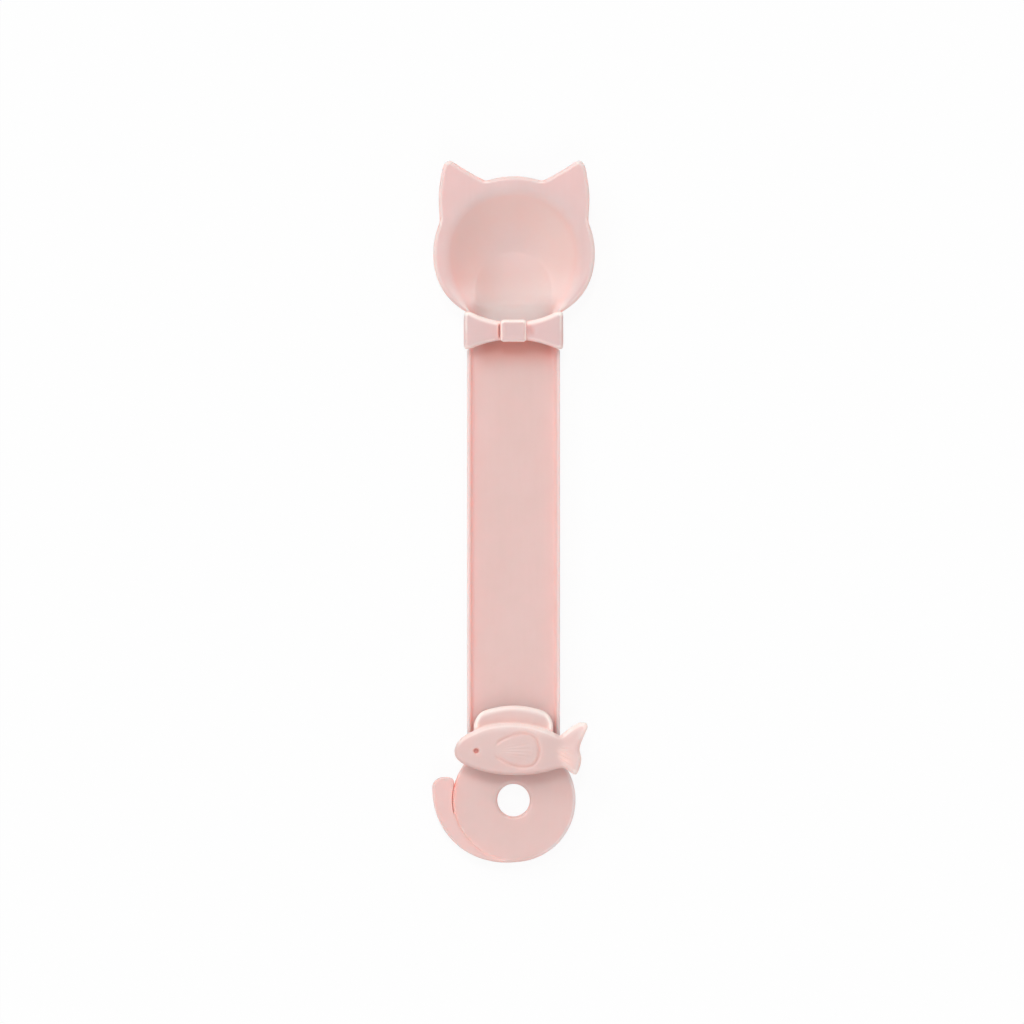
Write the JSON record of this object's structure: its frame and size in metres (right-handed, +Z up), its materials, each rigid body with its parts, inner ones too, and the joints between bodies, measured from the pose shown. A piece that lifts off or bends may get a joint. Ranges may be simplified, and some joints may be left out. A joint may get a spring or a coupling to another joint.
{
  "type": "pet treat squeeze spoon",
  "caption": "Flat feeding spoon for squeeze-pouch pet treats: cat-face bowl, bow-tie bridge, channel handle, sliding fish-shaped squeezer and a round end with a hanging hole.",
  "frame": {"origin": "centre of the bounding box's bottom, on the surface that the spoon lies on", "axes": "+Y along the handle from the hanging hole towards the bowl, +Z up out of the front face, +X to the right seen from the front"},
  "size_m": [0.0452, 0.195, 0.0106],
  "materials": {
    "pink_plastic": "satin moulded polypropylene"
  },
  "bodies": {
    "spoon": {"handle": "pink_plastic", "spoon_head": "pink_plastic", "bow_tie": "pink_plastic"},
    "slider": {"fish_slider": "pink_plastic", "slider_back_plate": "pink_plastic"}
  },
  "joints": [
    {"name": "slider_travel", "type": "slide", "parent": "spoon", "child": "slider", "axis": [0, 1, 0], "range_m": [0, 0.1]}
  ]
}
